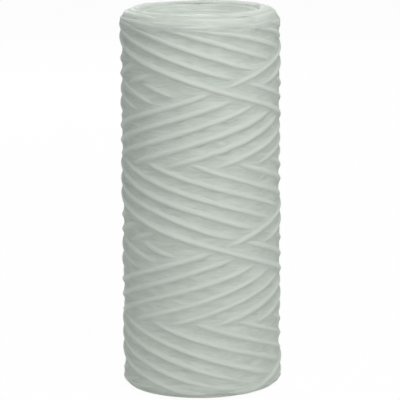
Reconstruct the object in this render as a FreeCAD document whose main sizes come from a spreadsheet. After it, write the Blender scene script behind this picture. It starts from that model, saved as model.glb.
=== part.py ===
import FreeCAD, Part
import Sketcher
import math
import os

# Wound sediment filter cartridge, 10 x 4 1/2 inch class.
# Origin at the middle of the resting face, +Z up along the axis of the cartridge.
# A perforated core tube carries one continuous yarn, wound from end to end and back.
# Every stroke climbs at the same helix angle and crosses the stroke before it, so the
# outside shows triangular zones of parallel yarns that lean right or left in turn.

doc = FreeCAD.newDocument("sediment_filter_cartridge")

dimensions = [
    ("overall_height", 262.0, "lowest to highest yarn"),
    ("core_length", 248.0, "core tube, rim to rim"),
    ("core_bore", 28.0, "clear bore of the core tube"),
    ("core_wall", 2.4, "wall of the core tube at its collars"),
    ("collar_length", 18.0, "plain collar at each end of the core tube"),
    ("window_relief", 0.4, "wall taken off inside, between the collars"),
    ("rim_chamfer", 0.6, "lead-in at both mouths of the bore"),
    ("window_width", 8.0, "window, across the core tube"),
    ("window_height", 11.6, "window, along the core tube"),
    ("window_pitch", 17.6, "spacing of the rows of windows"),
    ("windows_around", 6, "windows in one row"),
    ("yarn_count", 10, "yarns side by side in one lead"),
    ("yarn_lead", 108.0, "rise of the yarn in one turn"),
    ("crossing_turn", 12.0, "angle of the lowest front crossing, degrees"),
    ("crest_radius", 54.2, "radius over the oldest yarn of a zone"),
    ("groove_depth", 2.0, "depth of the groove between two yarns"),
    ("zone_rise", 0.6, "newest yarn of a zone above the oldest"),
    ("crossing_rise", 0.3, "extra height of the yarn that crosses over"),
    ("ring_radius", 42.0, "circle of the highest loops at an end"),
    ("top_shoulder", 11.0, "drop of the top shoulder"),
    ("bottom_shoulder", 7.0, "rise of the bottom shoulder"),
    ("dish_depth", 8.0, "highest loop down to the yarn at the core"),
    ("loop_pitch", 5.2, "spacing of the yarn loops on an end"),
    ("loop_depth", 1.0, "groove between two loops"),
]

sheet = doc.addObject("Spreadsheet::Sheet", "dims")
sheet.set("A1", "dimension")
sheet.set("B1", "value")
sheet.set("C1", "what it is")
for row, (alias, value, note) in enumerate(dimensions, start=2):
    sheet.set("A%d" % row, alias)
    sheet.set("B%d" % row, str(value))
    sheet.set("C%d" % row, note)
    sheet.setAlias("B%d" % row, alias)
doc.recompute()


def plane_of(body, role):
    for feature in body.Origin.OriginFeatures:
        if feature.Role == role:
            return feature
    raise ValueError("no origin feature " + role)


def sketch_on(body, role, name):
    sketch = body.newObject("Sketcher::SketchObject", name)
    sketch.AttachmentSupport = [(plane_of(body, role), "")]
    sketch.MapMode = "FlatFace"
    return sketch


def add_rectangle(sketch, left, right, low, high):
    corners = [(left, low), (right, low), (right, high), (left, high)]
    for i in range(4):
        start = FreeCAD.Vector(corners[i][0], corners[i][1], 0)
        end = FreeCAD.Vector(corners[(i + 1) % 4][0], corners[(i + 1) % 4][1], 0)
        sketch.addGeometry(Part.LineSegment(start, end), False)
    for i in range(4):
        sketch.addConstraint(Sketcher.Constraint("Coincident", i, 2, (i + 1) % 4, 1))
    sketch.addConstraint(Sketcher.Constraint("Horizontal", 0))
    sketch.addConstraint(Sketcher.Constraint("Horizontal", 2))
    sketch.addConstraint(Sketcher.Constraint("Vertical", 1))
    sketch.addConstraint(Sketcher.Constraint("Vertical", 3))


def drive(sketch, constraint, expression):
    index = sketch.addConstraint(constraint)
    sketch.setExpression("Constraints[%d]" % index, expression)


# Core tube: moulded, with a plain collar at each end and rows of windows between them.
core = doc.addObject("PartDesign::Body", "core_tube")
core.Label = "core_tube"

section = sketch_on(core, "XZ_Plane", "core_section")
bore = sheet.core_bore / 2
rim_low = (sheet.overall_height - sheet.core_length) / 2
rim_high = rim_low + sheet.core_length
add_rectangle(section, bore, bore + sheet.core_wall, rim_low, rim_high)
drive(section, Sketcher.Constraint("DistanceX", -1, 1, 0, 1, bore), "dims.core_bore / 2")
drive(section, Sketcher.Constraint("DistanceX", 0, 1, 0, 2, sheet.core_wall), "dims.core_wall")
drive(section, Sketcher.Constraint("DistanceY", -1, 1, 0, 1, rim_low),
      "(dims.overall_height - dims.core_length) / 2")
drive(section, Sketcher.Constraint("DistanceY", 1, 1, 1, 2, sheet.core_length),
      "dims.core_length")
wall = core.newObject("PartDesign::Revolution", "core_wall_turned")
wall.Profile = section
wall.ReferenceAxis = (section, ["V_Axis"])
wall.Angle = 360.0
doc.recompute()

mouths = []
for number, edge in enumerate(wall.Shape.Edges, start=1):
    if isinstance(edge.Curve, Part.Circle) and abs(edge.Curve.Radius - bore) < 0.01:
        mouths.append("Edge%d" % number)
lead_in = core.newObject("PartDesign::Chamfer", "bore_lead_in")
lead_in.Base = (wall, mouths)
lead_in.Size = sheet.rim_chamfer
lead_in.setExpression("Size", "dims.rim_chamfer")
doc.recompute()

# Between the collars the wall is thinner, so that the posts touch only the collars.
relief = sketch_on(core, "XZ_Plane", "relief_section")
relief_low = rim_low + sheet.collar_length
relief_high = rim_high - sheet.collar_length
relief_radius = bore + sheet.window_relief
add_rectangle(relief, bore / 2, relief_radius, relief_low, relief_high)
drive(relief, Sketcher.Constraint("DistanceX", -1, 1, 0, 1, bore / 2), "dims.core_bore / 4")
drive(relief, Sketcher.Constraint("DistanceX", -1, 1, 0, 2, relief_radius),
      "dims.core_bore / 2 + dims.window_relief")
drive(relief, Sketcher.Constraint("DistanceY", -1, 1, 0, 1, relief_low),
      "(dims.overall_height - dims.core_length) / 2 + dims.collar_length")
drive(relief, Sketcher.Constraint("DistanceY", -1, 1, 2, 1, relief_high),
      "(dims.overall_height + dims.core_length) / 2 - dims.collar_length")
thinned = core.newObject("PartDesign::Groove", "window_stretch_relief")
thinned.Profile = relief
thinned.ReferenceAxis = (relief, ["V_Axis"])
thinned.Angle = 360.0
doc.recompute()

rows_between_collars = ("floor((dims.core_length - 2 * dims.collar_length"
                        " - dims.window_height) / dims.window_pitch)")
field = sheet.core_length - 2 * sheet.collar_length - sheet.window_height
row_steps = math.floor(field / sheet.window_pitch)
window = sketch_on(core, "XZ_Plane", "window_outline")
first_row = (sheet.overall_height - sheet.window_pitch * row_steps) / 2
half_width = sheet.window_width / 2
half_height = sheet.window_height / 2
add_rectangle(window, -half_width, half_width, first_row - half_height, first_row + half_height)
drive(window, Sketcher.Constraint("DistanceX", 0, 1, -1, 1, half_width), "dims.window_width / 2")
drive(window, Sketcher.Constraint("DistanceX", 0, 1, 0, 2, sheet.window_width),
      "dims.window_width")
drive(window, Sketcher.Constraint("DistanceY", 1, 1, 1, 2, sheet.window_height),
      "dims.window_height")
drive(window, Sketcher.Constraint("DistanceY", -1, 1, 0, 1, first_row - half_height),
      "(dims.overall_height - dims.window_height - dims.window_pitch * "
      + rows_between_collars + ") / 2")
cut = core.newObject("PartDesign::Pocket", "window_cut")
cut.Profile = window
cut.Type = "Length"
cut.setExpression("Length", "dims.core_bore / 2 + 2 * dims.core_wall")
doc.recompute()

windows = core.newObject("PartDesign::MultiTransform", "window_field")
windows.Originals = [cut]
rows = core.newObject("PartDesign::LinearPattern", "window_rows_up")
rows.Direction = (window, ["V_Axis"])
rows.setExpression("Length", "dims.window_pitch * " + rows_between_collars)
rows.setExpression("Occurrences", rows_between_collars + " + 1")
around = core.newObject("PartDesign::PolarPattern", "windows_around_axis")
around.Axis = (window, ["V_Axis"])
around.Angle = 360.0
around.setExpression("Occurrences", "dims.windows_around")
windows.Transformations = [rows, around]
core.Tip = windows
doc.recompute()


# Yarn lattice: the outer skin of the winding.
# Height is counted in leads and angle in turns, so a yarn that leans right keeps
# height minus turn, and a yarn that leans left keeps height plus turn.
# Crest lines and groove lines of both directions meet at the points of one grid, and
# each yarn lies straight from one point of the grid to the next.
# A band half a lead high holds one zone of each direction. The newest yarn of one zone
# crosses over the newest yarn of the other at one point of each band's edge.
lines = 2 * int(sheet.yarn_count)
line_step = 1.0 / lines
bands = int(math.ceil(2 * sheet.overall_height / sheet.yarn_lead))
lattice_low = (sheet.overall_height - bands * sheet.yarn_lead / 2) / 2
newest_radius = sheet.crest_radius + sheet.zone_rise
crossing_radius = newest_radius + sheet.crossing_rise


def on_winding(turn, leads, radius):
    angle = 2 * math.pi * (round(turn, 9) % 1.0) + math.radians(sheet.crossing_turn)
    height = lattice_low + leads * sheet.yarn_lead
    return FreeCAD.Vector(radius * math.sin(angle), -radius * math.cos(angle), height)


def line_radius(line):
    radius = newest_radius - sheet.zone_rise * line / lines
    if line % 2:
        radius -= sheet.groove_depth
    return radius


def edge_radius(line):
    if line % lines == 0:
        return crossing_radius
    return line_radius(line)


def grid_point(band, right, left):
    if left in (0, lines):
        radius = crossing_radius
    elif right <= 0:
        radius = line_radius(-right)
    else:
        radius = line_radius(left)
    turn = (left - right) * line_step / 2 + band / 2
    leads = (right + left) * line_step / 2 + band / 2
    return on_winding(turn, leads, radius)


def edge_point(band, line):
    radius = (edge_radius(line) + edge_radius(line + 1)) / 2
    return on_winding((line + 0.5) * line_step + band / 2, band / 2, radius)


def facet(*corners):
    return Part.Face(Part.makePolygon(list(corners) + [corners[0]]))


def right_leaning_zone(band):
    facets = []
    for line in range(lines):
        for left in range(line + 1, lines):
            a = grid_point(band, -line, left)
            b = grid_point(band, -line, left + 1)
            c = grid_point(band, -line - 1, left)
            d = grid_point(band, -line - 1, left + 1)
            facets.append(facet(a, b, c))
            facets.append(facet(c, b, d))
        a = grid_point(band, -line, line)
        b = grid_point(band, -line, line + 1)
        c = grid_point(band, -line - 1, line + 1)
        middle = edge_point(band, line)
        facets.append(facet(a, b, middle))
        facets.append(facet(middle, b, c))
    return facets


def left_leaning_zone(band):
    facets = []
    for line in range(lines):
        for right in range(lines - line - 1):
            a = grid_point(band, right, line)
            b = grid_point(band, right + 1, line)
            c = grid_point(band, right, line + 1)
            d = grid_point(band, right + 1, line + 1)
            facets.append(facet(a, d, b))
            facets.append(facet(a, c, d))
        a = grid_point(band, lines - line - 1, line)
        b = grid_point(band, lines - line, line)
        c = grid_point(band, lines - line - 1, line + 1)
        middle = edge_point(band + 1, line)
        facets.append(facet(a, middle, b))
        facets.append(facet(a, c, middle))
    return facets


def lattice_end(band):
    ring = []
    for line in range(lines):
        turn = line * line_step + band / 2
        ring.append(on_winding(turn, band / 2, edge_radius(line)))
        ring.append(edge_point(band, line))
    return facet(*ring)


skin = [lattice_end(0), lattice_end(bands)]
for band in range(bands):
    skin += right_leaning_zone(band)
    skin += left_leaning_zone(band)
shell = Part.makeCompound(skin)
shell.sewShape()
lattice = doc.addObject("Part::Feature", "yarn_lattice")
lattice.Shape = Part.makeSolid(shell.Shells[0])
lattice.Placement = FreeCAD.Placement()


# Outline of the winding: rounded shoulders, and a shallow dish in each end that falls
# from the ring of highest loops to the rim of the core. The yarn turns back at the ends
# in loops that lie nearly round the axis, one beside the other.
def end_curve(shoulder, roundness):
    outer = crossing_radius + sheet.groove_depth
    ring = sheet.ring_radius
    core_edge = sheet.core_bore / 2 + sheet.core_wall
    curve = []
    for i in range(121):
        angle = math.pi / 2 * i / 120
        across = math.cos(angle) ** (2 / roundness)
        along = math.sin(angle) ** (2 / roundness)
        curve.append((ring + (outer - ring) * across, shoulder * (along - 1)))
    for i in range(1, 41):
        share = i / 40
        drop = sheet.dish_depth * math.sin(share * math.pi / 2)
        curve.append((ring + (core_edge - ring) * share, -drop))
    return curve


def end_loops(shoulder, roundness):
    curve = end_curve(shoulder, roundness)
    run = [0.0]
    for a, b in zip(curve, curve[1:]):
        run.append(run[-1] + math.dist(a, b))

    def at(distance, depth):
        i = max(j for j in range(len(run) - 1) if run[j] <= distance)
        (ar, az), (br, bz) = curve[i], curve[i + 1]
        share = (distance - run[i]) / (run[i + 1] - run[i])
        slope = math.dist(curve[i], curve[i + 1])
        radius = ar + (br - ar) * share + depth * (bz - az) / slope
        height = az + (bz - az) * share - depth * (ar - br) / slope
        return radius, height

    ring_run = run[120]
    pitch = sheet.loop_pitch
    outside = int((ring_run - shoulder) / pitch)
    inside = int((run[-1] - ring_run) / pitch - 0.3)
    loops = [curve[0], at((ring_run - outside * pitch) / 2, 0)]
    for i in range(-outside, inside + 1):
        loops.append(at(ring_run + i * pitch, 0))
        if i < inside:
            loops.append(at(ring_run + (i + 0.5) * pitch, sheet.loop_depth))
    loops.append(curve[-1])
    return loops


top = [(r, sheet.overall_height + z) for r, z in end_loops(sheet.top_shoulder, 2.3)]
bottom = [(r, -z) for r, z in end_loops(sheet.bottom_shoulder, 2.6)]
corners = [FreeCAD.Vector(r, 0, z) for r, z in top + bottom[::-1]]
outline = doc.addObject("Part::Feature", "winding_outline")
outline.Shape = facet(*corners)
outline.Placement = FreeCAD.Placement()

turned = doc.addObject("Part::Revolution", "winding_turned")
turned.Source = outline
turned.Axis = FreeCAD.Vector(0, 0, 1)
turned.Base = FreeCAD.Vector(0, 0, 0)
turned.Angle = 360.0
turned.Solid = True

winding = doc.addObject("Part::Common", "yarn_winding")
winding.Label = "yarn_winding"
winding.Base = lattice
winding.Tool = turned
doc.recompute()

for item in doc.Objects:
    if "Invalid" in item.State or "Error" in item.State:
        raise RuntimeError(item.Name + " failed: " + str(item.State))

os.makedirs("parts", exist_ok=True)
for item in (core, winding):
    if item.Shape.isNull() or not item.Shape.isValid() or len(item.Shape.Solids) != 1:
        raise RuntimeError(item.Label + " is not one valid solid")
    item.Shape.exportStep("parts/" + item.Label + ".step")
    box = item.Shape.BoundBox
    print(item.Label, "volume %.0f mm3" % item.Shape.Volume,
          "size %.1f x %.1f x %.1f mm" % (box.XLength, box.YLength, box.ZLength))
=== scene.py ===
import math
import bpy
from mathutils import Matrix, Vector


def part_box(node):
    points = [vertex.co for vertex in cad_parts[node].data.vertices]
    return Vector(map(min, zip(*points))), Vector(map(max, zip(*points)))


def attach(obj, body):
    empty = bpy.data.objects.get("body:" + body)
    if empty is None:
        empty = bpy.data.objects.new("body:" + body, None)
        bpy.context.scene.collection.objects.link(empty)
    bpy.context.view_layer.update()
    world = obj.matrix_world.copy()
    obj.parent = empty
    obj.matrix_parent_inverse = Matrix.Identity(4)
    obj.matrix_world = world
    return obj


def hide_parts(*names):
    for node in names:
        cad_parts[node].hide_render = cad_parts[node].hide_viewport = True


bl_info = {
    "name": "Wound sediment filter cartridge",
    "version": (1, 0, 0),
    "blender": (4, 5, 0),
    "location": "View3D > Sidebar > Cartridge",
    "description": "Winds the polypropylene yarn on the core tube of a sediment filter cartridge",
    "category": "Add Mesh",
}

import bpy
import numpy as np
from mathutils import Matrix, Vector

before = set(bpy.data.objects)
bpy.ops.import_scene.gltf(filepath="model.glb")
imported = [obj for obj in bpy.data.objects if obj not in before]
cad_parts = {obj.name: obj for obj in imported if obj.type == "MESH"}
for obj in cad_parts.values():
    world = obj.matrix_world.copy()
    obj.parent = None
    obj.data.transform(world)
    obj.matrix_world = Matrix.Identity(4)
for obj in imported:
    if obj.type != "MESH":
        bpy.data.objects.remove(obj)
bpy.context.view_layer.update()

MM = 0.001
CORE_LOW, CORE_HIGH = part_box("core_tube")
YARN_LOW, YARN_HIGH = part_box("yarn_winding")


def linear(code):
    """An sRGB hex colour as linear RGBA."""
    channels = [int(code[i:i + 2], 16) / 255 for i in (1, 3, 5)]
    light = [c / 12.92 if c <= 0.04045 else ((c + 0.055) / 1.055) ** 2.4 for c in channels]
    return light + [1.0]


class CartridgeSizes(bpy.types.PropertyGroup):
    """Sizes that shape the winding. The overall size comes from the frame."""
    yarn_width: bpy.props.FloatProperty(
        name="Yarn width", description="Width of the laid yarn, across its run",
        default=0.0054, unit="LENGTH")
    yarn_thickness: bpy.props.FloatProperty(
        name="Yarn thickness", description="Thickness of the laid yarn at its middle",
        default=0.0026, unit="LENGTH")
    lead: bpy.props.FloatProperty(
        name="Lead", description="Rise of the yarn in one turn",
        default=0.108, unit="LENGTH")
    yarns_in_lead: bpy.props.FloatProperty(
        name="Yarns in a lead", description="Double strokes before the pattern comes round",
        default=10.4)
    double_strokes: bpy.props.IntProperty(
        name="Double strokes", description="Strokes up and down that are laid one by one",
        default=21)
    loose_fibres: bpy.props.IntProperty(
        name="Loose fibres", description="Fibres that stand off the yarn and can be seen",
        default=1600)
    crossing: bpy.props.FloatProperty(
        name="Crossing", description="Angle of the crossing nearest the front",
        default=math.radians(12), subtype="ANGLE")
    loop_pitch: bpy.props.FloatProperty(
        name="Loop pitch", description="Spacing of the rings of yarn loops on an end",
        default=0.0046, unit="LENGTH")
    ring_radius: bpy.props.FloatProperty(
        name="Ring radius", description="Radius of the highest loops at an end",
        default=0.042, unit="LENGTH")
    top_shoulder: bpy.props.FloatProperty(
        name="Top shoulder", description="Drop of the rounded top shoulder",
        default=0.011, unit="LENGTH")
    bottom_shoulder: bpy.props.FloatProperty(
        name="Bottom shoulder", description="Rise of the rounded bottom shoulder",
        default=0.0055, unit="LENGTH")
    dish_depth: bpy.props.FloatProperty(
        name="Dish depth", description="Highest loop down to the yarn at the core",
        default=0.009, unit="LENGTH")


class CartridgeColours(bpy.types.PropertyGroup):
    """Body colours of the cartridge and of the floor, and darker colours that paint shade on the
    yarn's sides and between the yarns
    """
    yarn: bpy.props.FloatVectorProperty(
        name="Yarn", description="Body colour of the spun polypropylene yarn",
        size=4, subtype="COLOR", default=linear("#D8DED5"))
    # Painted shade: the yarn's sides, and yarns pressed down, are coloured darker, as the shade
    # that falls between the yarns.
    yarn_side_painted_shade: bpy.props.FloatVectorProperty(
        name="Yarn shade", description="Colour of the yarn at its sides",
        size=4, subtype="COLOR", default=linear("#C2C9BF"))
    # Painted shade: the brushed layers between the yarns are coloured darker than the yarn, as
    # the shade in the hollows between the yarns.
    packed_with_painted_shade: bpy.props.FloatVectorProperty(
        name="Packed layers", description="Colour of the brushed layers between the yarns",
        size=4, subtype="COLOR", default=linear("#CDD4CA"))
    # Painted shade, darker still, in the hollows of the fibre clumps.
    packed_deep_painted_shade: bpy.props.FloatVectorProperty(
        name="Packed layers shade", description="Colour deep in the brushed layers",
        size=4, subtype="COLOR", default=linear("#B7BFB5"))
    core: bpy.props.FloatVectorProperty(
        name="Core", description="Colour of the moulded core tube",
        size=4, subtype="COLOR", default=linear("#E4E6DF"))
    floor: bpy.props.FloatVectorProperty(
        name="Floor", description="Colour of the studio floor",
        size=4, subtype="COLOR", default=linear("#F4F4F4"))


def add_node(tree, kind, inputs=None, **settings):
    """Adds a node, sets its settings, and links or fills its inputs by name or place."""
    node = tree.nodes.new(kind)
    for name, value in settings.items():
        setattr(node, name, value)
    for name, value in (inputs or {}).items():
        if isinstance(value, bpy.types.NodeSocket):
            tree.links.new(value, node.inputs[name])
        else:
            node.inputs[name].default_value = value
    return node


def new_material(name):
    """An empty material and its node tree."""
    material = bpy.data.materials.new(name)
    material.use_nodes = True
    material.node_tree.nodes.clear()
    return material, material.node_tree


def spun_polypropylene_yarn(colours):
    # Spun roving: many fine fibres lie along the yarn, so it is soft, slightly
    # translucent and streaked along its length, with no clear gloss.
    material, tree = new_material("spun_polypropylene_yarn")
    strand = add_node(tree, "ShaderNodeAttribute", attribute_name="strand")
    # Fibre bundles are about 1 mm across and 7 mm long before they fade into the next.
    bundles = add_node(tree, "ShaderNodeVectorMath", {0: strand.outputs["Vector"],
                       1: (140.0, 1000.0, 1000.0)}, operation="MULTIPLY")
    streaks = add_node(tree, "ShaderNodeTexNoise", {"Vector": bundles.outputs[0],
                       "Scale": 1.0, "Detail": 2.0, "Roughness": 0.5})
    # Single fibres are finer than a pixel, so they are drawn 0.25 mm across.
    hairs = add_node(tree, "ShaderNodeVectorMath", {0: strand.outputs["Vector"],
                     1: (90.0, 4000.0, 4000.0)}, operation="MULTIPLY")
    fine = add_node(tree, "ShaderNodeTexNoise", {"Vector": hairs.outputs[0],
                    "Scale": 1.0, "Detail": 1.0})
    depth = add_node(tree, "ShaderNodeMath", {0: streaks.outputs["Fac"],
                     1: fine.outputs["Fac"]}, operation="ADD")
    share = add_node(tree, "ShaderNodeMapRange", {"Value": depth.outputs[0],
                     "From Min": 0.75, "From Max": 1.25, "To Max": 0.3})
    # The crown is the brightest, where the yarn stands proud of those beside it. Its sides fade
    # into the brushed layers with painted shade, 2.4 mm from the middle, and yarns pressed down
    # take painted shade too.
    axes = add_node(tree, "ShaderNodeSeparateXYZ", {0: strand.outputs["Vector"]})
    across = add_node(tree, "ShaderNodeMath", {0: axes.outputs["Z"]}, operation="ABSOLUTE")
    crown = add_node(tree, "ShaderNodeMapRange", {"Value": across.outputs[0],
                     "From Max": 0.0024, "To Min": 0.55, "To Max": 0.0},
                     interpolation_type="SMOOTHSTEP")
    proud = add_node(tree, "ShaderNodeAttribute", attribute_name="proud")
    light = add_node(tree, "ShaderNodeMath", {0: crown.outputs["Result"],
                     1: proud.outputs["Fac"], 2: share.outputs["Result"]},
                     operation="MULTIPLY_ADD")
    # light mixes the painted shade of the sides and pressed yarns with the yarn's own streaks.
    mix = add_node(tree, "ShaderNodeMix", {0: light.outputs[0],
                   6: colours.yarn_side_painted_shade, 7: colours.yarn}, data_type="RGBA")
    bump = add_node(tree, "ShaderNodeBump", {"Height": depth.outputs[0],
                    "Strength": 0.4, "Distance": 0.0006})
    surface = add_node(tree, "ShaderNodeBsdfPrincipled", {
        "Base Color": mix.outputs[2], "Roughness": 0.6, "IOR": 1.49,
        "Specular IOR Level": 0.25,
        "Subsurface Weight": 0.25, "Subsurface Radius": (1.0, 1.0, 1.0),
        "Subsurface Scale": 0.003, "Normal": bump.outputs["Normal"]})
    add_node(tree, "ShaderNodeOutputMaterial", {"Surface": surface.outputs[0]})
    return material


def packed_yarn_layers(colours):
    # Brushed layers between the outer yarns. Their fibres lie nearly level round
    # the winding, so they show as soft streaks.
    # The layers are coloured darker than the yarn, as painted shade between the yarns.
    material, tree = new_material("packed_yarn_layers")
    place = add_node(tree, "ShaderNodeTexCoord")
    # Clumps of fibre are about 3 mm high and 14 mm long.
    level = add_node(tree, "ShaderNodeVectorMath", {0: place.outputs["Object"],
                     1: (70.0, 70.0, 350.0)}, operation="MULTIPLY")
    clumps = add_node(tree, "ShaderNodeTexNoise", {"Vector": level.outputs[0],
                      "Scale": 1.0, "Detail": 2.0, "Roughness": 0.5})
    # Single fibres are finer than a pixel, so they are drawn 0.4 mm across.
    hairs = add_node(tree, "ShaderNodeVectorMath", {0: place.outputs["Object"],
                     1: (120.0, 120.0, 2500.0)}, operation="MULTIPLY")
    fine = add_node(tree, "ShaderNodeTexNoise", {"Vector": hairs.outputs[0],
                    "Scale": 1.0, "Detail": 1.0})
    height = add_node(tree, "ShaderNodeMath", {0: fine.outputs["Fac"], 1: 0.4,
                      2: clumps.outputs["Fac"]}, operation="MULTIPLY_ADD")
    share = add_node(tree, "ShaderNodeMapRange", {"Value": height.outputs[0],
                     "From Min": 0.4, "From Max": 1.0})
    # Painted shade: where the fibre noise is low, the layers take the darker colour, as shade in
    # the hollows of the clumps.
    mix = add_node(tree, "ShaderNodeMix", {0: share.outputs["Result"],
                   6: colours.packed_deep_painted_shade, 7: colours.packed_with_painted_shade}, data_type="RGBA")
    bump = add_node(tree, "ShaderNodeBump", {"Height": height.outputs[0],
                    "Strength": 0.4, "Distance": 0.0012})
    surface = add_node(tree, "ShaderNodeBsdfPrincipled", {
        "Base Color": mix.outputs[2], "Roughness": 0.75, "IOR": 1.49,
        "Specular IOR Level": 0.25, "Normal": bump.outputs["Normal"]})
    add_node(tree, "ShaderNodeOutputMaterial", {"Surface": surface.outputs[0]})
    return material


def moulded_polypropylene(colours):
    # Injection-moulded natural polypropylene: milky, with a soft satin gloss.
    material, tree = new_material("moulded_polypropylene")
    place = add_node(tree, "ShaderNodeTexCoord")
    # Flow marks of the mould, about 6 mm apart.
    flow = add_node(tree, "ShaderNodeTexNoise", {"Vector": place.outputs["Object"],
                    "Scale": 160.0, "Detail": 2.0})
    gloss = add_node(tree, "ShaderNodeMapRange", {"Value": flow.outputs["Fac"],
                     "To Min": 0.36, "To Max": 0.5})
    surface = add_node(tree, "ShaderNodeBsdfPrincipled", {
        "Base Color": colours.core, "Roughness": gloss.outputs["Result"], "IOR": 1.49,
        "Subsurface Weight": 0.2, "Subsurface Radius": (1.0, 1.0, 1.0),
        "Subsurface Scale": 0.001})
    add_node(tree, "ShaderNodeOutputMaterial", {"Surface": surface.outputs[0]})
    return material


def sees_background(tree):
    """1 for rays from the camera, and for those that metal or glass sends on."""
    path = add_node(tree, "ShaderNodeLightPath")
    direct = add_node(tree, "ShaderNodeMath", {0: path.outputs["Is Camera Ray"],
                      1: path.outputs["Is Glossy Ray"]}, operation="MAXIMUM")
    either = add_node(tree, "ShaderNodeMath", {0: direct.outputs[0],
                      1: path.outputs["Is Transmission Ray"]}, operation="MAXIMUM")
    return either.outputs[0]


def white_studio_floor(colours):
    # Matt white sweep: the camera sees it white, and the object still shades it.
    material, tree = new_material("white_studio_floor")
    matt = add_node(tree, "ShaderNodeBsdfDiffuse", {"Color": colours.floor})
    white = add_node(tree, "ShaderNodeEmission", {"Color": (1, 1, 1, 1), "Strength": 1.0})
    seen = add_node(tree, "ShaderNodeMath", {0: sees_background(tree), 1: 0.97},
                    operation="MULTIPLY")
    mix = add_node(tree, "ShaderNodeMixShader", {0: seen.outputs[0], 1: matt.outputs[0],
                   2: white.outputs[0]})
    add_node(tree, "ShaderNodeOutputMaterial", {"Surface": mix.outputs[0]})
    return material


# The winding. Lengths in the constants and in the Winding class are in millimetres,
# and angles round the axis are in turns.

# Exponents of the shoulders' curves: 2 is a quarter circle, and more is squarer.
ROUND_TOP = 2.3
ROUND_BOTTOM = 2.6
# How fast the dish falls behind its lip: 1 is a cone, and more is steeper.
DISH_STEEP = 3.5
# Points that trace a shoulder and a dish, before they are spaced evenly.
SHOULDER_POINTS = 121
DISH_POINTS = 61
# The yarn can't follow a sharp lip, so the outline is smoothed over this many steps.
OUTLINE_STEP = 0.5
LIP_STEPS = 15
# Grid on which the tops of the yarns are kept: columns round, and cells up the run.
COLUMNS = 360
CELL = 0.8
# Middle of a yarn from the outline: newest strokes on the wall, top end, bottom end.
OUTER_LEVEL = -1.45
END_LEVEL = -1.2
FOOT_LEVEL = -1.5
# How much lower each older stroke lies, and a yarn that later ones press down.
OLDER_LOWER = 0.04
PRESSED_LOWER = 1.1
# The bed of inner layers under the outline, at the ends and then on the wall.
END_BED = 3.0
WALL_BED = 2.0
# Leads between the lowest and the highest crossing, and in a stroke up.
HIGH_CROSSING = 2.5
# Samples between two knots of a slow random drift.
DRIFT = 40
# Turns by which a stroke runs on under the next, thinning out to nothing.
OVERLAP = 0.05
# Half the turn that one end loop covers, and the loops in a ring.
LOOP_HALF = 0.18
LOOPS_IN_RING = 4
# Real fibres are about 0.03 mm thick. They are drawn 0.16 mm thick so that they show.
FIBRE_THICK = 0.00016


def smoothed(line, steps):
    """A running mean of a line, weighted to its middle, with the ends held."""
    window = np.hanning(steps)
    padded = np.pad(line, steps // 2, mode="edge")
    return np.convolve(padded, window / window.sum(), mode="valid")


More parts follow.
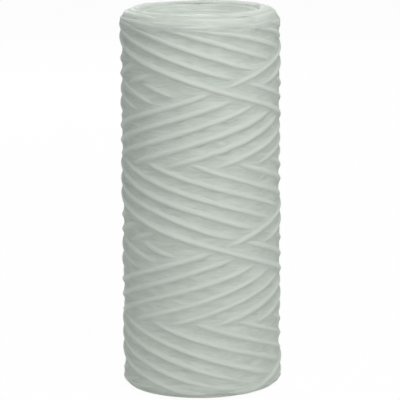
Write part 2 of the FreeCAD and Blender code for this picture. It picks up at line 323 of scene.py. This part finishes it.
class Winding:
    """The outline of the winding and the yarn laid on it, in millimetres.

    A place on the outline is a turn round the axis and a run up it: the run is the
    height on the wall, and goes on by arc length over a shoulder and into a dish.
    """

    def __init__(self, sizes):
        self.sizes = sizes
        self.width = sizes.yarn_width / MM
        self.thickness = sizes.yarn_thickness / MM
        self.lead = sizes.lead / MM
        self.height = (YARN_HIGH.z - YARN_LOW.z) / MM
        self.outer = (YARN_HIGH.x - YARN_LOW.x) / 2 / MM
        self.core = (CORE_HIGH.x - CORE_LOW.x) / 2 / MM
        self.base = (self.height - HIGH_CROSSING * self.lead) / 2
        self.random = np.random.default_rng(7)
        self.trace_outline()
        self.field = self.bed(self.cells)[None, :].repeat(COLUMNS, 0)
        self.covered = np.zeros_like(self.field)

    def end_curve(self, shoulder, roundness):
        """Radius and drop along a shoulder and on into the dish."""
        ring = self.sizes.ring_radius / MM
        angle = np.linspace(0, math.pi / 2, SHOULDER_POINTS)
        across = np.cos(angle).clip(0) ** (2 / roundness)
        along = np.sin(angle).clip(0) ** (2 / roundness)
        radius = ring + (self.outer - ring) * across
        drop = shoulder * (1 - along)
        share = np.linspace(0, 1, DISH_POINTS)[1:]
        fall = self.sizes.dish_depth / MM * (1 - (1 - share) ** DISH_STEEP)
        radius = np.append(radius, ring + (self.core - ring) * share)
        return radius, np.append(drop, fall)

    def trace_outline(self):
        """The outline from the bottom dish up to the top dish, at even steps of run."""
        top_r, top_d = self.end_curve(self.sizes.top_shoulder / MM, ROUND_TOP)
        low_r, low_d = self.end_curve(self.sizes.bottom_shoulder / MM, ROUND_BOTTOM)
        top_run = np.append(0, np.cumsum(np.hypot(np.diff(top_r), np.diff(top_d))))
        low_run = np.append(0, np.cumsum(np.hypot(np.diff(low_r), np.diff(low_d))))
        self.top_edge = self.height - top_d[0]
        self.low_edge = low_d[0]
        self.top_ring = self.top_edge + top_run[SHOULDER_POINTS - 1]
        self.low_ring = self.low_edge - low_run[SHOULDER_POINTS - 1]
        run = np.append((self.low_edge - low_run)[::-1], self.top_edge + top_run)
        r = np.append(low_r[::-1], top_r)
        z = np.append(low_d[::-1], self.height - top_d)
        self.run = np.arange(run[0], run[-1], OUTLINE_STEP)
        self.r, self.z = (smoothed(np.interp(self.run, run, line), LIP_STEPS)
                          for line in (r, z))
        self.cells = np.arange(self.run[0], self.run[-1], CELL)

    def bed(self, run):
        """How far the bed of inner layers lies under the outline."""
        on_wall = np.clip((self.top_edge + 4 - run) / 10, 0, 1)
        on_wall = np.minimum(on_wall, np.clip((run - self.low_edge + 4) / 10, 0, 1))
        return -END_BED - WALL_BED * on_wall

    def point(self, turn, run, lift):
        """Places in space, in metres, and the lean of the outline's normal."""
        r = np.interp(run, self.run, self.r)
        z = np.interp(run, self.run, self.z)
        dr = np.interp(run + 0.5, self.run, self.r) - np.interp(run - 0.5, self.run, self.r)
        dz = np.interp(run + 0.5, self.run, self.z) - np.interp(run - 0.5, self.run, self.z)
        size = np.hypot(dr, dz).clip(1e-6)
        r = r + lift * dz / size
        z = z - lift * dr / size
        angle = 2 * math.pi * turn + self.sizes.crossing
        place = np.stack([r * np.sin(angle), -r * np.cos(angle), z], 1) * MM
        return place, np.arctan2(dr, dz)

    def raise_field(self, turn, run, lift):
        """Adds a yarn's own height, thick at its middle and thin at its sides."""
        below_all = -99
        half = self.width / 2
        reach = int(half / CELL)
        column = np.round(turn * COLUMNS).astype(int) % COLUMNS
        cell = (run - self.cells[0]) / CELL
        middle = np.round(cell).astype(int)
        for k in range(-reach - 1, reach + 2):
            offset = (middle + k - cell) * CELL / half
            crown = self.thickness / 2 * (1 - offset ** 2).clip(0) ** 1.5
            rows = (middle + k).clip(0, len(self.cells) - 1)
            top = np.where(np.abs(offset) < 1, lift + crown, below_all)
            np.maximum.at(self.field, (column, rows), top)

    def pressed(self, turn, run):
        """How far the yarns wound later press this one down, from 0 to 1."""
        column = np.round(turn * COLUMNS).astype(int) % COLUMNS
        middle = np.round((run - self.cells[0]) / CELL).astype(int)
        # It looks 5.6 mm to each side, and then marks 3.2 mm to each side as covered.
        rows = [(middle + k).clip(0, len(self.cells) - 1) for k in range(-7, 8)]
        share = np.mean([self.covered[column, row] for row in rows], 0)
        for row in rows[3:12]:
            self.covered[column, row] = 1
        fully_pressed = 0.55
        return (share / fully_pressed).clip(0, 1)

    def lay(self, turn, run, age):
        """Lays a double stroke, sampled at each degree, under those that came later."""
        half = len(turn) // 2
        back = self.pressed(turn[half:], run[half:])
        press = smoothed(np.append(self.pressed(turn[:half], run[:half]), back), 23)
        # Near a shoulder the strokes turn back side by side, and don't press each other.
        off_wall = np.maximum(run - self.top_edge + 6, self.low_edge + 8 - run)
        off_wall = off_wall.clip(0, 8) / 8
        end = np.where(run > self.height / 2, END_LEVEL, FOOT_LEVEL)
        lift = OUTER_LEVEL + (end - OUTER_LEVEL) * off_wall
        lift = lift - OLDER_LOWER * age - PRESSED_LOWER * press * (1 - off_wall)
        self.raise_field(turn, run, lift)
        return lift

    def nap(self):
        """The brushed fibres between the yarns, which fill the hollows between them."""
        soft = self.field.copy()
        for _ in range(3):
            soft = (np.roll(soft, -1, 0) + np.roll(soft, 1, 0) + soft
                    + np.roll(soft, -2, 0) + np.roll(soft, 2, 0)) / 5
            edge = np.pad(soft, ((0, 0), (2, 2)), mode="edge")
            soft = sum(edge[:, k:k + soft.shape[1]] for k in range(5)) / 5
        return soft

    def wander(self, count, size):
        """A slow random drift of the yarn to either side."""
        knots = self.random.normal(0, size, count // DRIFT + 4)
        return np.interp(np.arange(count) / DRIFT, np.arange(len(knots)), knots)

    def turns(self, first, last):
        """Turns from first to last, sampled at each degree."""
        return np.arange(math.ceil(first * 360), math.floor(last * 360)) / 360

    def double_stroke(self, number):
        """Stroke up and back of the yarn, counted from the newest, 0."""
        n = self.sizes.yarns_in_lead
        low_cross = 0.5 / n
        # Runs at which this stroke turns back, in leads. They scatter by about 1 mm.
        top = (self.top_edge + 4.5 + self.random.normal(0, 0.8) - self.base) / self.lead
        low = (self.low_edge + 0.2 + self.random.normal(0, 1.0) - self.base) / self.lead
        high_half = 2 * (HIGH_CROSSING - top)
        low_half = 2 * (low - low_cross)
        start = low_cross + number / n
        middle = HIGH_CROSSING + number / n
        end = low_cross + (number - 1) / n + 2 * HIGH_CROSSING
        turn = self.turns(start - OVERLAP, end + OVERLAP)
        level = np.where(turn < middle, turn - number / n,
                         2 * HIGH_CROSSING + number / n - turn)
        # Each corner of the zigzag is rounded by a parabola that meets both its sides.
        gap = np.abs(turn - middle)
        level = np.where(gap < high_half,
                         HIGH_CROSSING - high_half / 2 - gap ** 2 / (2 * high_half), level)
        for corner in (start, end):
            gap = np.abs(turn - corner)
            level = np.where(gap < low_half,
                             low_cross + low_half / 2 + gap ** 2 / (2 * low_half), level)
        run = self.base + level * self.lead + self.wander(len(turn), 0.45)
        return turn, run

    def end_loops(self, top):
        """Loops where the yarn of the inner layers turned back, inner rings first."""
        pitch = self.sizes.loop_pitch / MM
        ring = self.top_ring if top else self.low_ring
        outward = -1 if top else 1
        inner = int((abs((self.run[-1] if top else self.run[0]) - ring) - 2.5) / pitch)
        edge = self.top_edge + 3 if top else self.low_edge - 3.5
        outer = int(abs(ring - edge) / pitch)
        loops = []
        for row in range(-inner, outer + 1):
            place = ring + outward * row * pitch
            near_edge = np.clip(1 - abs(place - edge) / 10, 0, 1)
            phase = self.random.random()
            for number in range(LOOPS_IN_RING):
                middle = phase + number / LOOPS_IN_RING + self.random.normal(0, 0.02)
                half = LOOP_HALF + 0.015 * self.random.normal()
                turn = self.turns(middle - half, middle + half)
                # The loop swings outward and sinks under its neighbours at both ends.
                gap = (turn - middle) / half
                run = place + self.random.normal(0, 0.5) + self.random.normal(0, 1.0) * gap
                run = run + outward * 1.2 * gap ** 2 + self.wander(len(turn), 0.3)
                level = END_LEVEL if top else FOOT_LEVEL
                level = level + self.random.normal(0, 0.2) - 0.5 * near_edge
                loops.append((turn, run, level - 1.8 * gap ** 4))
        return loops


winding_cache = {}


def laid_winding(sizes):
    """The winding and its yarn paths, laid once for each set of sizes."""
    key = tuple(getattr(sizes, name) for name in sizes.bl_rna.properties.keys()
                if name not in ("rna_type", "name"))
    if key in winding_cache:
        return winding_cache[key]
    winding = Winding(sizes)
    paths = {"top_loops": [], "bottom_loops": [], "under": [], "outer": []}
    for name, top in (("bottom_loops", False), ("top_loops", True)):
        for turn, run, lift in winding.end_loops(top):
            winding.raise_field(turn, run, lift)
            paths[name].append((turn, run, lift))
    newest = int(sizes.yarns_in_lead)
    for number in range(sizes.double_strokes):
        turn, run = winding.double_stroke(number)
        lift = winding.lay(turn, run, number)
        paths["outer" if number <= newest else "under"].append((turn, run, lift))
    winding_cache[key] = (winding, paths)
    return winding_cache[key]


def yarn_sweep_tree():
    """Sweeps a flattened round section along each path, turned with the outline."""
    tree = bpy.data.node_groups.new("yarn_sweep", "GeometryNodeTree")
    for name, kind in (("Path", "Geometry"), ("Width", "Float"), ("Thickness", "Float"),
                       ("Sides", "Int"), ("Yarn", "Material")):
        tree.interface.new_socket(name, in_out="INPUT", socket_type="NodeSocket" + kind)
    tree.interface.new_socket("Swept", in_out="OUTPUT", socket_type="NodeSocketGeometry")
    given = add_node(tree, "NodeGroupInput").outputs
    lean = add_node(tree, "GeometryNodeInputNamedAttribute", {"Name": "lean"},
                    data_type="FLOAT")
    fullness = add_node(tree, "GeometryNodeInputNamedAttribute", {"Name": "fullness"},
                        data_type="FLOAT")
    curve = add_node(tree, "GeometryNodeMeshToCurve", {"Mesh": given["Path"]})
    upright = add_node(tree, "GeometryNodeSetCurveNormal", {"Curve": curve.outputs[0]},
                       mode="Z_UP")
    tilted = add_node(tree, "GeometryNodeSetCurveTilt", {"Curve": upright.outputs[0],
                      "Tilt": lean.outputs["Attribute"]})
    sized = add_node(tree, "GeometryNodeSetCurveRadius", {"Curve": tilted.outputs[0],
                     "Radius": fullness.outputs["Attribute"]})
    length = add_node(tree, "GeometryNodeSplineParameter")
    phase = add_node(tree, "GeometryNodeInputNamedAttribute", {"Name": "phase"},
                     data_type="FLOAT")
    along = add_node(tree, "ShaderNodeMath", {0: length.outputs["Length"],
                     1: phase.outputs["Attribute"]}, operation="ADD")
    kept = add_node(tree, "GeometryNodeCaptureAttribute", {"Geometry": sized.outputs[0]})
    kept.capture_items.new("FLOAT", "along")
    tree.links.new(along.outputs[0], kept.inputs["along"])

    circle = add_node(tree, "GeometryNodeCurvePrimitiveCircle",
                      {"Resolution": given["Sides"], "Radius": 0.5})
    stretch = add_node(tree, "ShaderNodeCombineXYZ", {"X": given["Thickness"],
                       "Y": given["Width"], "Z": 1.0})
    # The sides thin out to nothing, as fibres of the roving do: across the yarn
    # stays, and the height becomes its cube.
    around = add_node(tree, "GeometryNodeInputPosition")
    axes = add_node(tree, "ShaderNodeSeparateXYZ", {0: around.outputs[0]})
    cube = add_node(tree, "ShaderNodeMath", {0: axes.outputs["X"], 1: 3.0}, operation="POWER")
    height = add_node(tree, "ShaderNodeMath", {0: cube.outputs[0], 1: 4.0},
                      operation="MULTIPLY")
    thin = add_node(tree, "ShaderNodeCombineXYZ", {"X": height.outputs[0],
                    "Y": axes.outputs["Y"]})
    lens = add_node(tree, "GeometryNodeSetPosition", {"Geometry": circle.outputs[0],
                    "Position": thin.outputs[0]})
    flat = add_node(tree, "GeometryNodeTransform", {"Geometry": lens.outputs[0],
                    "Scale": stretch.outputs[0]})
    section = add_node(tree, "GeometryNodeInputPosition")
    profile = add_node(tree, "GeometryNodeCaptureAttribute", {"Geometry": flat.outputs[0]})
    profile.capture_items.new("VECTOR", "section")
    tree.links.new(section.outputs[0], profile.inputs["section"])

    swept = add_node(tree, "GeometryNodeCurveToMesh", {"Curve": kept.outputs["Geometry"],
                     "Profile Curve": profile.outputs["Geometry"], "Fill Caps": True,
                     "Scale": fullness.outputs["Attribute"]})
    parts = add_node(tree, "ShaderNodeSeparateXYZ", {0: profile.outputs["section"]})
    strand = add_node(tree, "ShaderNodeCombineXYZ", {"X": kept.outputs["along"],
                      "Y": parts.outputs["X"], "Z": parts.outputs["Y"]})
    stored = add_node(tree, "GeometryNodeStoreNamedAttribute", {
        "Geometry": swept.outputs[0], "Name": "strand", "Value": strand.outputs[0]},
        data_type="FLOAT_VECTOR", domain="POINT")
    smooth = add_node(tree, "GeometryNodeSetShadeSmooth", {"Geometry": stored.outputs[0]})
    real = add_node(tree, "GeometryNodeRealizeInstances", {"Geometry": smooth.outputs[0]})
    coloured = add_node(tree, "GeometryNodeSetMaterial", {"Geometry": real.outputs[0],
                        "Material": given["Yarn"]})
    add_node(tree, "NodeGroupOutput", {"Swept": coloured.outputs[0]})
    return tree


def path_object(name, winding, paths, step):
    """Polylines through every so many samples of the laid paths.

    Each point also gets the lean of the outline, how full the yarn is, how far the
    streaks are shifted, and how proud it stands of yarns that are pressed down.
    """
    places, edges = [], []
    layers = {"lean": [], "fullness": [], "phase": [], "proud": []}
    first = 0
    for number, (turn, run, lift) in enumerate(paths):
        place, tilt = winding.point(turn, run, lift)
        keep = list(range(0, len(turn), step))
        if keep[-1] != len(turn) - 1:
            keep.append(len(turn) - 1)
        places.append(place[keep])
        layers["lean"].append(tilt[keep])
        body = 1 + 0.07 * winding.wander(len(turn), 1.0)[keep].clip(-1.5, 1.5)
        to_end = np.minimum(turn - turn[0], turn[-1] - turn)[keep]
        body *= (0.02 + to_end / OVERLAP).clip(0, 1) ** 0.7
        layers["fullness"].append(body)
        layers["phase"].append(np.full(len(keep), number * 0.37))
        # How proud a yarn stands sets how much painted shade its material gives it.
        layers["proud"].append(((lift[keep] - OUTER_LEVEL) / PRESSED_LOWER + 1).clip(0, 1))
        edges += [(first + i, first + i + 1) for i in range(len(keep) - 1)]
        first += len(keep)
    mesh = bpy.data.meshes.new(name)
    mesh.from_pydata(np.concatenate(places).tolist(), edges, [])
    for title, values in layers.items():
        layer = mesh.attributes.new(title, "FLOAT", "POINT")
        layer.data.foreach_set("value", np.concatenate(values).astype(np.float32))
    piece = bpy.data.objects.new(name, mesh)
    bpy.context.scene.collection.objects.link(piece)
    return piece


def rest_on_floor(mesh):
    """Flattens the lowest loops where the cartridge stands on them."""
    places = np.empty(len(mesh.vertices) * 3, np.float32)
    mesh.vertices.foreach_get("co", places)
    places[2::3] = places[2::3].clip(0)
    mesh.vertices.foreach_set("co", places)
    mesh.update()


def sweep_yarn(piece, sizes, material, sides, width=None, thickness=None):
    """Runs the sweep on a path object and keeps its result as a plain mesh."""
    tree = bpy.data.node_groups.get("yarn_sweep") or yarn_sweep_tree()
    modifier = piece.modifiers.new("yarn_sweep", "NODES")
    modifier.node_group = tree
    values = {"Width": width or sizes.yarn_width,
              "Thickness": thickness or sizes.yarn_thickness,
              "Sides": sides, "Yarn": material}
    for socket in tree.interface.items_tree:
        if socket.name in values:
            modifier[socket.identifier] = values[socket.name]
    bpy.context.view_layer.update()
    graph = bpy.context.evaluated_depsgraph_get()
    result = bpy.data.meshes.new_from_object(
        piece.evaluated_get(graph), preserve_all_data_layers=True, depsgraph=graph)
    piece.modifiers.remove(modifier)
    if not result.polygons:
        raise RuntimeError("The sweep of " + piece.name + " made no faces")
    piece.data = result
    result.name = piece.name
    rest_on_floor(result)


def yarn_material(colours):
    """The yarn's material, made once for all the pieces of yarn."""
    made = bpy.data.materials.get("spun_polypropylene_yarn")
    return made or spun_polypropylene_yarn(colours)


def join_winding(piece):
    """Makes a piece part of the visible winding."""
    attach(piece, "root")
    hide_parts("yarn_winding")


class CARTRIDGE_OT_finish_core(bpy.types.Operator):
    """Gives the core tube its moulded polypropylene"""
    bl_idname = "cartridge.finish_core"
    bl_label = "Core tube"

    def execute(self, context):
        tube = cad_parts["core_tube"]
        tube.data.materials.clear()
        tube.data.materials.append(moulded_polypropylene(context.scene.cartridge_colours))
        return {"FINISHED"}


class CARTRIDGE_OT_pack_inner_layers(bpy.types.Operator):
    """Makes the body of inner layers that the outer yarns lie on"""
    bl_idname = "cartridge.pack_inner_layers"
    bl_label = "Inner layers"

    def execute(self, context):
        winding, _ = laid_winding(context.scene.cartridge_sizes)
        rows, turns = 300, 240
        run = np.linspace(winding.run[0] + 0.2, winding.run[-1] - 0.2, rows)
        places, faces = [], []
        clear_of_core = winding.core + 0.05
        nap = winding.nap()
        for i in range(turns):
            lift = np.interp(run, winding.cells, nap[i * COLUMNS // turns])
            ring, _ = winding.point(np.full(rows, i / turns), run, lift)
            flat = np.hypot(ring[:, 0], ring[:, 1])
            grow = np.maximum(flat, clear_of_core * MM) / flat
            ring[:, :2] *= grow[:, None]
            places += ring.tolist()
        for i in range(turns):
            a, b = i * rows, (i + 1) % turns * rows
            for j in range(rows):
                up = (j + 1) % rows
                faces.append((a + j, b + j, b + up, a + up))
        mesh = bpy.data.meshes.new("packed_inner_layers")
        mesh.from_pydata(places, [], faces)
        rest_on_floor(mesh)
        mesh.shade_smooth()
        mesh.materials.append(packed_yarn_layers(context.scene.cartridge_colours))
        piece = bpy.data.objects.new("packed_inner_layers", mesh)
        context.scene.collection.objects.link(piece)
        join_winding(piece)
        return {"FINISHED"}


class CARTRIDGE_OT_wind_yarn(bpy.types.Operator):
    """Winds the outer strokes of the yarn, newest on top"""
    bl_idname = "cartridge.wind_yarn"
    bl_label = "Wound yarn"

    def execute(self, context):
        sizes = context.scene.cartridge_sizes
        winding, paths = laid_winding(sizes)
        material = yarn_material(context.scene.cartridge_colours)
        for name, key, step in (("wound_yarn_outer", "outer", 3),
                                ("wound_yarn_under", "under", 4)):
            piece = path_object(name, winding, paths[key], step)
            sweep_yarn(piece, sizes, material, 12)
            join_winding(piece)
        return {"FINISHED"}


class CARTRIDGE_OT_wind_end_loops(bpy.types.Operator):
    """Lays the loops where the yarn turned back at both ends"""
    bl_idname = "cartridge.wind_end_loops"
    bl_label = "End loops"

    def execute(self, context):
        sizes = context.scene.cartridge_sizes
        winding, paths = laid_winding(sizes)
        material = yarn_material(context.scene.cartridge_colours)
        for name, key in (("yarn_loops_top", "top_loops"),
                          ("yarn_loops_bottom", "bottom_loops")):
            piece = path_object(name, winding, paths[key], 4)
            sweep_yarn(piece, sizes, material, 12)
            join_winding(piece)
        return {"FINISHED"}


class CARTRIDGE_OT_raise_loose_fibres(bpy.types.Operator):
    """Raises the loose fibres that stand off the brushed yarn"""
    bl_idname = "cartridge.raise_loose_fibres"
    bl_label = "Loose fibres"

    def execute(self, context):
        sizes = context.scene.cartridge_sizes
        winding, paths = laid_winding(sizes)
        strokes = paths["outer"] + paths["top_loops"]
        fibres = []
        for _ in range(sizes.loose_fibres):
            turn, run, lift = strokes[winding.random.integers(len(strokes))]
            # A fibre runs along 8 to 19 degrees of its yarn.
            start = winding.random.integers(0, len(turn) - 22)
            piece = slice(start, start + winding.random.integers(8, 20))
            share = np.linspace(-1, 1, len(turn[piece]))
            side = winding.random.normal(0, 1.1) + winding.random.normal(0, 1.2) * share
            arch = winding.thickness / 2 * (1 - (side / 2.7) ** 2).clip(0) ** 1.5
            # Its middle stands up to 0.7 mm off the yarn, and its ends sink in.
            stand = winding.random.random() * 0.7 * (1 - share ** 2) - 0.15 * share ** 2
            fibres.append((turn[piece], run[piece] + side, lift[piece] + arch + stand))
        fibre = path_object("loose_fibres", winding, fibres, 3)
        sweep_yarn(fibre, sizes, yarn_material(context.scene.cartridge_colours), 4,
                   FIBRE_THICK, FIBRE_THICK)
        join_winding(fibre)
        return {"FINISHED"}


class CARTRIDGE_OT_set_stage(bpy.types.Operator):
    """Sets the floor, the soft lights and the camera of the product photograph"""
    bl_idname = "cartridge.set_stage"
    bl_label = "Stage"

    def execute(self, context):
        scene = context.scene
        scene.view_settings.view_transform = "Standard"
        mesh = bpy.data.meshes.new("studio_floor")
        reach = 6.0
        corners = [(-reach, -reach, 0), (reach, -reach, 0), (reach, reach, 0),
                   (-reach, reach, 0)]
        mesh.from_pydata(corners, [], [(0, 1, 2, 3)])
        mesh.materials.append(white_studio_floor(scene.cartridge_colours))
        floor = bpy.data.objects.new("studio_floor", mesh)
        scene.collection.objects.link(floor)

        world = bpy.data.worlds.new("studio_surround")
        scene.world = world
        world.use_nodes = True
        tree = world.node_tree
        tree.nodes.clear()
        soft = add_node(tree, "ShaderNodeBackground", {"Color": (0.93, 0.97, 1.0, 1),
                        "Strength": 0.36})
        white = add_node(tree, "ShaderNodeBackground", {"Color": (1, 1, 1, 1), "Strength": 1.0})
        mix = add_node(tree, "ShaderNodeMixShader", {0: sees_background(tree),
                       1: soft.outputs[0], 2: white.outputs[0]})
        add_node(tree, "ShaderNodeOutputWorld", {"Surface": mix.outputs[0]})

        aim = Vector((0, 0, 0.14))
        for name, place, size, power in (
                ("top_softbox", (0.2, -0.62, 1.15), 0.7, 9.1),
                ("right_softbox", (0.75, -1.5, 0.65), 0.9, 2.4),
                ("back_softbox", (-0.35, 1.6, 0.9), 0.9, 9.0)):
            lamp = bpy.data.lights.new(name, "AREA")
            lamp.shape = "SQUARE"
            lamp.size = size
            lamp.energy = power
            holder = bpy.data.objects.new(name, lamp)
            holder.location = place
            holder.rotation_euler = (aim - Vector(place)).to_track_quat("-Z", "Y").to_euler()
            scene.collection.objects.link(holder)

        # Lens, place and tilt that bring the outline and the yarn lines over the
        # photograph, which is 400 pixels wide.
        photo_pixels = 400
        focal_pixels = 2589
        distance = 1.752
        camera_height = 0.4565
        down = 0.185
        roll = -0.0065
        aside = -0.0008
        data = bpy.data.cameras.new("product_camera")
        data.sensor_width = 36.0
        data.lens = focal_pixels / photo_pixels * data.sensor_width
        data.clip_end = 50
        camera = bpy.data.objects.new("product_camera", data)
        look = Matrix.Rotation(math.pi / 2 - down, 4, "X") @ Matrix.Rotation(roll, 4, "Z")
        camera.matrix_world = Matrix.Translation((aside, -distance, camera_height)) @ look
        scene.collection.objects.link(camera)
        scene.camera = camera
        return {"FINISHED"}


class CARTRIDGE_PT_panel(bpy.types.Panel):
    """Pieces of the cartridge in the order in which they are made"""
    bl_idname = "CARTRIDGE_PT_panel"
    bl_label = "Sediment filter cartridge"
    bl_space_type = "VIEW_3D"
    bl_region_type = "UI"
    bl_category = "Cartridge"

    def draw(self, context):
        for operator in OPERATORS:
            self.layout.operator(operator.bl_idname)
        for group in (context.scene.cartridge_sizes, context.scene.cartridge_colours):
            for name in group.bl_rna.properties.keys():
                if name not in ("rna_type", "name"):
                    self.layout.prop(group, name)


OPERATORS = (CARTRIDGE_OT_finish_core, CARTRIDGE_OT_pack_inner_layers, CARTRIDGE_OT_wind_yarn,
             CARTRIDGE_OT_wind_end_loops, CARTRIDGE_OT_raise_loose_fibres,
             CARTRIDGE_OT_set_stage)
CLASSES = (CartridgeSizes, CartridgeColours) + OPERATORS + (CARTRIDGE_PT_panel,)


def register():
    for item in CLASSES:
        bpy.utils.register_class(item)
    bpy.types.Scene.cartridge_sizes = bpy.props.PointerProperty(type=CartridgeSizes)
    bpy.types.Scene.cartridge_colours = bpy.props.PointerProperty(type=CartridgeColours)


def unregister():
    del bpy.types.Scene.cartridge_colours
    del bpy.types.Scene.cartridge_sizes
    for item in reversed(CLASSES):
        bpy.utils.unregister_class(item)


def main():
    register()
    bpy.ops.cartridge.finish_core()
    bpy.ops.cartridge.pack_inner_layers()
    bpy.ops.cartridge.wind_yarn()
    bpy.ops.cartridge.wind_end_loops()
    bpy.ops.cartridge.raise_loose_fibres()
    bpy.ops.cartridge.set_stage()


if __name__ == "__main__":
    main()
